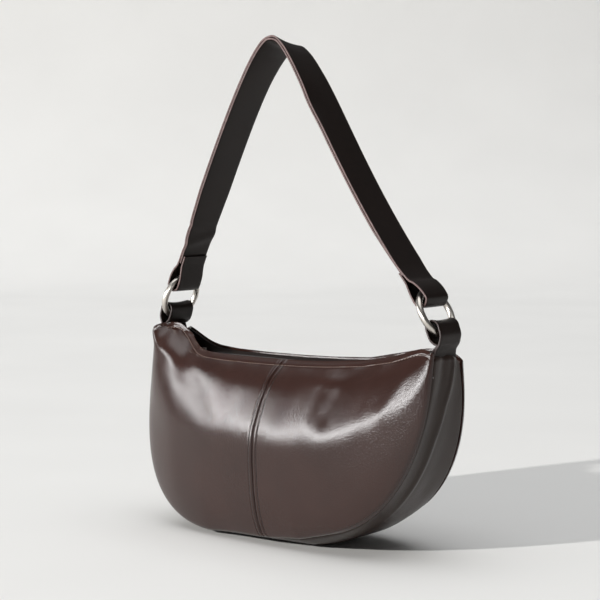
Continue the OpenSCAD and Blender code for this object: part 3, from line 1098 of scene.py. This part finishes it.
def base_tooth():
    """One zip tooth: a body on the tape's edge with a narrower head towards +Y."""
    deselect()
    bpy.ops.mesh.primitive_cube_add(size=1)
    obj = bpy.context.object
    edit(
        obj,
        (bpy.ops.transform.resize,
         {"value": (1.5 * MM, 1.6 * MM, 2.3 * MM), "center_override": (0, 0, 0)}),
        (bpy.ops.mesh.bevel, {"offset": 0.3 * MM, "segments": 1, "affect": "EDGES"}),
    )
    for p in obj.data.polygons:
        p.select = p.normal.y > 0.9
    bpy.ops.object.mode_set(mode="EDIT")
    bpy.ops.mesh.select_mode(type="FACE")
    bpy.ops.mesh.extrude_region_move(TRANSFORM_OT_translate={"value": (0, 0.8 * MM, 0)})
    bpy.ops.transform.resize(value=(0.7, 1, 0.6))
    bpy.ops.object.mode_set(mode="OBJECT")
    return obj


def teeth(name, xs, sign):
    """Row of zip teeth at the places xs, on the front (sign -1) or rear (sign 1) tape."""
    places = [((x, sign * TOOTH_ROW, ZIP_Z), (1, 0, 0), (0, -sign, 0), (0, 0, 1)) for x in xs]
    return repeat(name, base_tooth(), places)


class BAG_OT_zip(bpy.types.Operator):
    """Recessed zip: tapes, teeth and the fixed ends"""

    bl_idname = "bag.zip"
    bl_label = "Zip"

    def execute(self, context):
        half_open = node_box("front_zip_tape")[1][0]
        end_high = node_box("zip_end_tapes")[1]
        for sign, label in ((-1, "front"), (1, "rear")):
            tape = tape_piece(f"{label}_zip_cloth", -half_open, half_open, sign, 17.7)
            finish_piece(tape, f"{label}_zip", "zip_tape", material("zip_tape"),
                         f"{label}_zip_tape")
            shift = TOOTH_PITCH / 4 if sign > 0 else 0
            xs = np.arange(-half_open + 1.2, half_open - 0.6, TOOTH_PITCH) + shift
            row = teeth(f"{label}_zip_row", xs, sign)
            finish_piece(row, f"{label}_zip", "zip_metal", material("zip_metal"),
                         f"{label}_zip_teeth", angle=25)
        for side, end in ((-1, "left"), (1, "right")):
            a, b = half_open + 0.4, end_high[0]
            for sign, label in ((-1, "front"), (1, "rear")):
                tape = tape_piece(f"{end}_{label}_end_cloth", a, b, sign, 17.9)
                if side < 0:
                    move_vertices(tape, vertex_places(tape) * (-1, 1, 1))
                    edit(tape, (bpy.ops.mesh.flip_normals, {}))
                finish_piece(tape, "bag", "zip_tape", material("zip_tape"))
                shift = TOOTH_PITCH / 4 if sign > 0 else 0
                xs = side * (np.arange(a + 1.2, b - 1, TOOTH_PITCH) + shift)
                row = teeth(f"{end}_{label}_end_row", xs, sign)
                finish_piece(row, "bag", "zip_metal", material("zip_metal"), angle=25)
        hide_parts("zip_end_tapes")
        for node, width in (("zip_slider", 0.35), ("zip_puller", 0.3), ("zip_end_stops", 0.2)):
            refinish(node, "zip_metal", width)
        return {"FINISHED"}


def refinish(node, finish, bevel_width):
    """Keeps a CAD node and gives it a finish, with its edges softened by live modifiers."""
    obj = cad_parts[node]
    obj.data.materials.clear()
    obj.data.materials.append(material(finish))
    weld = obj.modifiers.new("Weld", "WELD")
    weld.merge_threshold = 0.00001
    bevel = obj.modifiers.new("Bevel", "BEVEL")
    bevel.width = bevel_width * MM
    bevel.segments = 2
    bevel.limit_method = "ANGLE"
    bevel.angle_limit = math.radians(35)


# Bands


def smooth_path(points, count):
    """Evenly spaced points on a smooth curve through the given ones."""
    p = np.array(points, float)
    ext = np.vstack([2 * p[0] - p[1], p, 2 * p[-1] - p[-2]])
    out = []
    for i in range(1, len(ext) - 2):
        a, b, c, d = ext[i - 1], ext[i], ext[i + 1], ext[i + 2]
        for t in np.linspace(0, 1, 24, endpoint=False):
            out.append(0.5 * (2 * b + (c - a) * t + (2 * a - 5 * b + 4 * c - d) * t * t
                              + (3 * b - a - 3 * c + d) * t**3))
    out.append(p[-1])
    out = np.array(out)
    run = np.concatenate([[0], np.cumsum(np.hypot(*np.diff(out, axis=0).T))])
    s = np.linspace(0, run[-1], count)
    return np.stack([np.interp(s, run, out[:, 0]), np.interp(s, run, out[:, 1])], 1), s


def path_normals(path):
    """Unit normals to the left of the path's way."""
    d = np.gradient(path, axis=0)
    d /= np.maximum(np.linalg.norm(d, axis=1), 1e-9)[:, None]
    return np.stack([-d[:, 1], d[:, 0]], 1)


def band_section():
    """Flat section with round edges: rows of place across, height and way round the edge."""
    flat = np.linspace(-1, 1, 15)
    arc = np.radians([30, 60, 90, 120, 150])
    points = [(f, 1, 0.0) for f in flat]
    points += [(1, math.cos(a), math.sin(a)) for a in arc]
    points += [(f, -1, 0.0) for f in flat[::-1]]
    points += [(-1, -math.cos(a), -math.sin(a)) for a in arc]
    return np.array(points)


def band_piece(name, path, half_width, thick, tweak=None, crown=0.0):
    """Leather band along a path in the XZ plane, with rounded edges and closed ends.

    half_width gives the half width at each share of the path, and tweak moves points."""
    section, r = band_section(), thick / 2
    n, m = len(section), len(path)
    normals = path_normals(path)
    share = np.linspace(0, 1, m)
    half = np.array([half_width(s) for s in share])

    def place(u, v):
        i = np.rint(u * n).astype(int) % n
        j = np.rint(v * (m - 1)).astype(int)
        flat, height, edge = section[i, 0], section[i, 1], section[i, 2]
        y = flat * (half[j] - r * 0.9) + edge * r * 0.9
        h = height * r + crown * (1 - flat**2) * np.sign(height)
        x = path[j, 0] + normals[j, 0] * h
        z = path[j, 1] + normals[j, 1] * h
        if tweak is not None:
            x, y, z = tweak(x, y, z)
        return x, y, z

    obj = grid(name, n, m - 1, place)
    edit(obj, (bpy.ops.mesh.remove_doubles, {"threshold": 0.00002}))
    make_active(obj)
    bpy.ops.object.mode_set(mode="EDIT")
    bpy.ops.mesh.select_all(action="DESELECT")
    bpy.ops.mesh.select_mode(type="EDGE")
    bpy.ops.mesh.select_non_manifold()
    bpy.ops.mesh.fill_holes(sides=0)
    bpy.ops.mesh.select_all(action="SELECT")
    bpy.ops.mesh.normals_make_consistent(inside=False)
    bpy.ops.object.mode_set(mode="OBJECT")
    return obj


def paint_edges(obj, face_material, edge_material):
    """Edge paint on the faces that look across the bag, leather on the rest."""
    obj.data.materials.clear()
    obj.data.materials.append(face_material)
    obj.data.materials.append(edge_material)
    for p in obj.data.polygons:
        p.material_index = 1 if abs(p.normal.y) > 0.55 else 0


def finish_band(obj, body, replaced=(), edge="edge_paint"):
    """Shades a band, paints its edges, hangs it on its body's empty if it has one, and hides the
    CAD nodes it replaces.
    """
    smooth(obj, 55)
    # The band's faces take the strap leather, whose darkened colour is painted shade
    paint_edges(obj, material("strap_leather"), material(edge))
    if body:
        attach(obj, body)
    if replaced:
        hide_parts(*replaced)


def ring_point(side, reach):
    """Point on the leaning middle line of a ring, reach above its centre."""
    lean = math.radians(RING_LEANS[side > 0])
    return np.array([side * (RING_X - reach * math.sin(lean)), RING_Z + reach * math.cos(lean)])


def local_to_world(origin, side, lean, points):
    """Points (outward, up) in a frame leaning towards the middle, to XZ points."""
    a = math.radians(lean)
    up = np.array([-side * math.sin(a), math.cos(a)])
    out = np.array([side * math.cos(a), math.sin(a)])
    return np.array([origin + p[0] * out + p[1] * up for p in points])


class BAG_OT_tabs(bpy.types.Operator):
    """Leather tabs that hold the rings, each folded round its ring and sewn into the gusset"""

    bl_idname = "bag.tabs"
    bl_label = "Tabs"

    def execute(self, context):
        for side, label in ((-1, "left"), (1, "right")):
            origin = ring_point(side, -PIVOT_REACH)
            lean = TAB_LEANS[side > 0]
            r = LOOP_RADIUS + TAB_THICK / 2
            arc = [(r * math.cos(a), 2.6 + r * math.sin(a))
                   for a in np.radians([15, 50, 90, 130, 165])]
            upper = local_to_world(origin, side, lean, [
                (1.25, -13.4), (3.3, -10.8), (6.0, -6.2), (r, 0.5), *arc, (-r, 0.5),
                (-6.0, -6.2), (-3.3, -10.8), (-0.85, -13.4),
            ])
            base = side * TAB_FOOT
            foot_out = [(base + side * d, z) for d, z in ((1.05, 170), (1.1, 181), (1.5, 188))]
            foot_in = [(base - side * d, z) for d, z in ((0.6, 188), (1.0, 181), (1.05, 170))]
            path, _ = smooth_path(np.vstack([foot_out, upper, foot_in]), 150)

            def half_width(s):
                return TAB_HALF - 0.5 * math.sin(math.pi * s) ** 6

            def tweak(x, y, z, top=origin[1] + 6):
                dip = 1.4 * (1 - (y / TAB_HALF) ** 2) * np.clip((z - top) / 4, 0, 1)
                return x, y, z - dip

            obj = band_piece(f"{label}_tab_leather", path, half_width, TAB_THICK, tweak)
            finish_band(obj, None, (f"{label}_tab", f"{label}_tab_base"), "tab_edge")
            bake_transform(obj)
        return {"FINISHED"}


class BAG_OT_rings(bpy.types.Operator):
    """Round rings of drawn wire, with the faint seam where their ends are welded"""

    bl_idname = "bag.rings"
    bl_label = "Rings"

    def execute(self, context):
        for side, label in ((-1, "left"), (1, "right")):
            lean = math.radians(RING_LEANS[side > 0])
            deselect()
            bpy.ops.mesh.primitive_torus_add(
                major_segments=160, minor_segments=36,
                major_radius=RING_RADIUS * MM, minor_radius=WIRE * MM,
            )
            obj = bpy.context.object
            obj.name = obj.data.name = f"{label}_ring_metal"
            co = vertex_places(obj)
            angle = np.arctan2(co[:, 1], co[:, 0])
            radial = np.hypot(co[:, 0], co[:, 1])
            offset = radial - RING_RADIUS * MM
            weld = 1 - 0.035 * hill(angle, 0.3, 0.02)
            wear = 1 + 0.006 * np.sin(3 * angle + 1) + 0.004 * np.sin(11 * angle)
            scale = weld * wear
            new_radial = RING_RADIUS * MM + offset * scale
            flat = np.stack([new_radial * np.cos(angle), new_radial * np.sin(angle),
                             co[:, 2] * scale], 1)
            # The ring's own Y stays across the bag, and its X goes up along the lean
            up = np.array([-side * math.sin(lean), 0, math.cos(lean)])
            out = np.array([side * math.cos(lean), 0, math.sin(lean)])
            centre = np.array([side * RING_X, 0, RING_Z]) * MM
            points = (centre + flat[:, :1] * up + flat[:, 1:2] * np.array([0, 1, 0])
                      + flat[:, 2:] * out)
            move_vertices(obj, points)
            face_out(obj)
            finish_piece(obj, f"{label}_ring", "ring_metal", material("ring_metal"),
                         f"{label}_ring", angle=60)
        return {"FINISHED"}


def loop_tip(side):
    """Point where the strap leaves the loop round a ring."""
    origin = ring_point(side, PIVOT_REACH)
    lean = math.radians(STRAP_LEANS[side > 0])
    reach = LOOP_HALF + STRAP_TAIL
    return origin + reach * np.array([-side * math.sin(lean), math.cos(lean)])


def bezier(a, b, c, d, count):
    """Points of the curve from a to d, with its handles at b and c."""
    t = np.linspace(0, 1, count)[:, None]
    return (1 - t) ** 3 * a + 3 * t * (1 - t) ** 2 * b + 3 * t * t * (1 - t) * c + t**3 * d


def strap_line(count=64):
    """Middle line of the strap from the left loop to the right one."""
    left, right = loop_tip(-1), loop_tip(1)
    al, ar = (math.radians(v) for v in STRAP_LEANS)
    up_l = np.array([math.sin(al), math.cos(al)])
    up_r = np.array([-math.sin(ar), math.cos(ar)])
    first = bezier(left, left + 180 * up_l, PEAK - (18, 0), PEAK, count)
    second = bezier(PEAK, PEAK + (25, 0), right + 140 * up_r, right, count)
    line = np.vstack([first, second[1:]])
    run = np.concatenate([[0], np.cumsum(np.hypot(*np.diff(line, axis=0).T))])
    s = np.linspace(0, run[-1], 2 * count)
    return np.stack([np.interp(s, run, line[:, 0]), np.interp(s, run, line[:, 1])], 1)


def strap_tweak(x, y, z):
    """Leather settles: the far edge hangs lower at the peak and the middle dips."""
    across = y / STRAP_HALF
    top = hill(x - PEAK[0], 4, 34) * np.clip((z - 380) / 60, 0, 1)
    tilt = -1.6 - 3.8 * across
    dip = -1.8 * (1 - across**2)
    kink = 1.6 * hill(z, 404, 14) * (x > 0) * np.clip(-across, 0, 1)
    crease = 1.3 * hill(z, 276 + 5 * across, 4.5) * (x < 0)
    second = 0.8 * hill(z, 288 - 4 * across, 3.5) * (x < 0)
    return x - kink + crease + second, y, z + top * (tilt + dip)


class BAG_OT_strap(bpy.types.Operator):
    """Flat shoulder strap of two leather layers, whose outer layer loops through the rings"""

    bl_idname = "bag.strap"
    bl_label = "Strap"

    def execute(self, context):
        line = strap_line()
        normals = path_normals(line)
        lift = 1.1
        outer = line + normals * lift
        inner = line - normals * lift
        loops = {}
        for side in (-1, 1):
            origin = ring_point(side, PIVOT_REACH)
            lean = STRAP_LEANS[side > 0]
            r = LOOP_RADIUS + STRAP_LAYER / 2 + (0.25 if side > 0 else 0.0)
            arc = [(r * math.cos(a), -2.4 + r * math.sin(a))
                   for a in np.radians([-10, -40, -90, -140, -170])]
            loops[side] = local_to_world(origin, side, lean, [
                (2.2, 17.6), (4.6, 12.5), (6.5, 5.0), *arc, (-6.3, 5.0), (-4.7, 12.5),
                (-3.4, 18.5), (-3.3, 24.0), (-3.3, 29.0),
            ])
        points = np.vstack([loops[-1][::-1], outer[2:-2:3], loops[1]])
        path, run = smooth_path(points, 420)
        total = run[-1]

        def half_width(s):
            d = min(s * 0.62, 1 - s) * total
            return 15.9 + 4.5 * min(max((d - 40) / 56, 0), 1) ** 1.1

        obj = band_piece("strap_outer_leather", path, half_width, STRAP_LAYER, strap_tweak, 0.12)
        finish_band(obj, "strap", ("strap_outer_layer",))

        inner_path, inner_run = smooth_path(inner[::3], 260)
        inner_total = inner_run[-1]

        def inner_width(s):
            d = min(s * 0.62, 1 - s) * inner_total
            return 16.4 + 4.0 * min(max((d + 4) / 52, 0), 1) ** 1.1

        obj = band_piece(
            "strap_inner_leather", inner_path, inner_width, STRAP_LAYER, strap_tweak, 0.12
        )
        finish_band(obj, "strap", ("strap_inner_layer",))
        return {"FINISHED"}


# Stitching


def surface_normal(face, x, z, sign):
    """Outward normal of a panel's face at x, z."""
    e = 0.4
    right, left, above, below = face(np.array([x + e, x - e, x, x]), np.array([z, z, z + e, z - e]))
    return unit((-sign * (right - left) / (2 * e), sign, -sign * (above - below) / (2 * e)))


class BAG_OT_stitching(bpy.types.Operator):
    """Rows of stitches under the mouth's rim and beside the middle seam"""

    bl_idname = "bag.stitching"
    bl_label = "Stitching"

    def execute(self, context):
        sewing = context.scene.bag_stitching
        width = sewing.thread_width / MM
        for face, sign, label in ((front_face, -1, "front"), (back_face, 1, "back")):
            xs = np.linspace(-MOUTH_HALF, MOUTH_HALF, 180)
            if sign > 0:
                xs = xs[::-1]
            zs = mouth_edge(xs, sign) - STITCH_DROP
            ys = face(xs, zs)
            points = np.stack([xs, ys, zs], 1)
            normals = np.array([surface_normal(face, x, z, sign) for x, z in zip(xs, zs)])
            points = points + normals * 0.12
            places = stitch_places(points, normals, sewing.mouth_pitch / MM, 0.0, 0.10)
            row = repeat(f"{label}_mouth_stitches", base_stitch(2.3, width), places)
            finish_piece(row, "bag", "panel_leather", material("thread"), angle=80)
        for side, label in ((-1, "left"), (1, "right")):
            zs = np.concatenate([np.linspace(166, 8, 150), [6.5, 5.2]])
            xs = side * SEAM_ROW + seam_at(zs)
            ys = front_face(xs, zs)
            normals = np.array([surface_normal(front_face, x, z, -1) for x, z in zip(xs, zs)])
            points = np.stack([xs, ys, zs], 1) + normals * 0.1
            places = stitch_places(points, normals, sewing.seam_pitch / MM, 0.0, 0.10)
            row = repeat(f"seam_stitches_{label}", base_stitch(2.1, width), places)
            finish_piece(row, "bag", "panel_leather", material("seam_thread"), angle=80)
        return {"FINISHED"}


# Stage


def look_at(obj, target):
    """Turns a lamp towards the target."""
    obj.rotation_euler = (Vector(target) - obj.location).to_track_quat("-Z", "Y").to_euler()


def around(azimuth, elevation, distance, centre=(0, 0, 0.12)):
    """Place seen from the bag at this azimuth (to the right of the front) and elevation."""
    return Vector(centre) + Vector((
        math.sin(azimuth) * math.cos(elevation),
        -math.cos(azimuth) * math.cos(elevation),
        math.sin(elevation),
    )) * distance


def lamp(name, place, size, power, colour=(1, 1, 1), target=(0, 0, 0.12)):
    """Area lamp at a place, turned towards the target."""
    deselect()
    bpy.ops.object.light_add(type="AREA", location=place)
    obj = bpy.context.object
    obj.name = name
    obj.data.shape = "ELLIPSE" if size[0] == size[1] else "RECTANGLE"
    obj.data.size, obj.data.size_y = size
    obj.data.energy = power
    obj.data.color = colour
    look_at(obj, target)
    return obj


# Where the camera stands, as fitted to the photo, in metres and radians
VIEW_AZIMUTH = math.radians(40)
VIEW_DISTANCE = 1.5
VIEW_HEIGHT = 0.341
VIEW_PITCH = math.radians(4.474)
# Its lens, from the photo's width and the focal length fitted to it, both in pixels
PHOTO_PIXELS = 600
FOCAL_PIXELS = 1610
SENSOR_WIDTH = 36
# The floor in millimetres: how wide and long it is, where it starts in front of the bag and
# bends up behind it, and the radius of the bend
FLOOR_WIDTH = 16000
FLOOR_RUN = 14500
FLOOR_FRONT = 9000
FLOOR_BACK = 3200
FLOOR_BEND = 1500
# Wide strip light round the front: azimuth, elevation and share of the power of each part
STRIP_LAMPS = (
    (-57, 16, 0.14), (-42, 11, 0.23), (-26, 6, 0.29), (-9, 6, 0.29), (8, 10, 0.31), (22, 13, 0.24),
)


class BAG_OT_stage(bpy.types.Operator):
    """Pale floor that curves up into a backdrop, soft studio light and the camera"""

    bl_idname = "bag.stage"
    bl_label = "Stage"

    def execute(self, context):
        stage = context.scene.bag_stage
        self.floor(stage)
        self.world(context.scene, stage)
        key = lamp("key_lamp", around(stage.key_azimuth, stage.key_elevation, 8.0),
                   (0.2, 0.2), stage.key_power, (1.0, 0.985, 0.96))
        key.visible_glossy = False
        for i, (azimuth, elevation, share) in enumerate(STRIP_LAMPS):
            place = around(math.radians(azimuth), math.radians(elevation), 2.3)
            strip = lamp(f"strip_lamp_{i}", place, (0.75, 0.3), stage.strip_power * share)
            strip.visible_diffuse = False
        lamp("backdrop_lamp", (-1.3, 1.6, 2.6), (2.4, 0.6), stage.backdrop_power,
             target=(-2.6, 3.6, 0.6))
        camera = bpy.data.objects.new("camera", bpy.data.cameras.new("camera"))
        context.scene.collection.objects.link(camera)
        context.scene.camera = camera
        camera.location = (math.sin(VIEW_AZIMUTH) * VIEW_DISTANCE,
                           -math.cos(VIEW_AZIMUTH) * VIEW_DISTANCE, VIEW_HEIGHT)
        camera.rotation_euler = (math.radians(90) - VIEW_PITCH, 0, VIEW_AZIMUTH)
        camera.data.sensor_width = SENSOR_WIDTH
        camera.data.lens = FOCAL_PIXELS / PHOTO_PIXELS * SENSOR_WIDTH
        context.scene.view_settings.view_transform = "Standard"
        return {"FINISHED"}

    def floor(self, stage):
        """Floor that runs far out in front and curves up into the backdrop behind."""

        def place(u, v):
            x = (u - 0.5) * FLOOR_WIDTH
            s = v * FLOOR_RUN - FLOOR_FRONT
            bend, radius = FLOOR_BACK, FLOOR_BEND
            arc = radius * math.pi / 2
            a = np.clip((s - bend) / radius, 0, math.pi / 2)
            y = np.where(s < bend, s, bend + radius * np.sin(a))
            z = np.where(s < bend, 0, radius * (1 - np.cos(a))) + np.clip(s - bend - arc, 0, None)
            sine, cosine = math.sin(VIEW_AZIMUTH), math.cos(VIEW_AZIMUTH)
            return x * cosine - y * sine, x * sine + y * cosine, z

        obj = grid("floor", 4, 120, place)
        make_active(obj)
        bpy.ops.object.shade_smooth()
        n = Nodes("pale_floor")
        pale = stage.floor_colour[:]
        tone = n.ramp(n.noise(3, 2), (0.3, shade(pale, 0.985)), (0.7, shade(pale, 1.015)))
        n.set(Base_Color=tone, Roughness=0.8, Specular_IOR_Level=0.0)
        obj.data.materials.append(n.material)

    def world(self, scene, stage):
        """Light from above, with a little from the left and from low down."""
        world = bpy.data.worlds.new("studio")
        world.use_nodes = True
        scene.world = world
        tree = world.node_tree
        background = tree.nodes["Background"]
        way = tree.nodes.new("ShaderNodeSeparateXYZ")
        coords = tree.nodes.new("ShaderNodeTexCoord")
        tree.links.new(coords.outputs["Generated"], way.inputs["Vector"])

        def fade(axis, interpolation, *limits):
            node = tree.nodes.new("ShaderNodeMapRange")
            node.interpolation_type = interpolation
            for key, value in zip(("From Min", "From Max", "To Min", "To Max"), limits):
                node.inputs[key].default_value = value
            tree.links.new(way.outputs[axis], node.inputs["Value"])
            return node

        total = fade("Z", "SMOOTHSTEP", 0.72, 0.96, 0.03, 1.3)
        left = fade("X", "LINEAR", 0.9, -0.9, 0.0, 0.06)
        low = fade("Z", "SMOOTHSTEP", 0.05, 0.1, 0.3, 0.0)
        for part in (left, low):
            both = tree.nodes.new("ShaderNodeMath")
            tree.links.new(total.outputs[0], both.inputs[0])
            tree.links.new(part.outputs["Result"], both.inputs[1])
            total = both
        colour = tree.nodes.new("ShaderNodeMixRGB")
        colour.inputs["Color1"].default_value = (0, 0, 0, 1)
        colour.inputs["Color2"].default_value = (0.98, 0.99, 1.0, 1)
        tree.links.new(total.outputs[0], colour.inputs["Fac"])
        tree.links.new(colour.outputs["Color"], background.inputs["Color"])
        background.inputs["Strength"].default_value = stage.sky_strength


OPERATORS = (
    BAG_OT_front_panels, BAG_OT_back_panel, BAG_OT_gusset, BAG_OT_facings, BAG_OT_lining,
    BAG_OT_board, BAG_OT_zip, BAG_OT_tabs, BAG_OT_rings, BAG_OT_strap, BAG_OT_stitching,
    BAG_OT_stage,
)


class BAG_PT_panel(bpy.types.Panel):
    """Lists the bag's pieces and settings"""

    bl_label = "Half moon bag"
    bl_idname = "BAG_PT_panel"
    bl_space_type = "VIEW_3D"
    bl_region_type = "UI"
    bl_category = "Bag"

    def draw(self, context):
        for name, group in SETTINGS.items():
            box = self.layout.box()
            for key in group.__annotations__:
                box.prop(getattr(context.scene, name), key)
        for operator in OPERATORS:
            self.layout.operator(operator.bl_idname)


CLASSES = (*SETTINGS.values(), *OPERATORS, BAG_PT_panel)


def register():
    for cls in CLASSES:
        bpy.utils.register_class(cls)
    for name, group in SETTINGS.items():
        setattr(bpy.types.Scene, name, bpy.props.PointerProperty(type=group))


def unregister():
    for name in SETTINGS:
        delattr(bpy.types.Scene, name)
    for cls in reversed(CLASSES):
        bpy.utils.unregister_class(cls)


def main():
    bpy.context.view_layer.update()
    register()
    for operator in OPERATORS:
        group, name = operator.bl_idname.split(".")
        getattr(getattr(bpy.ops, group), name)()


if __name__ == "__main__":
    main()
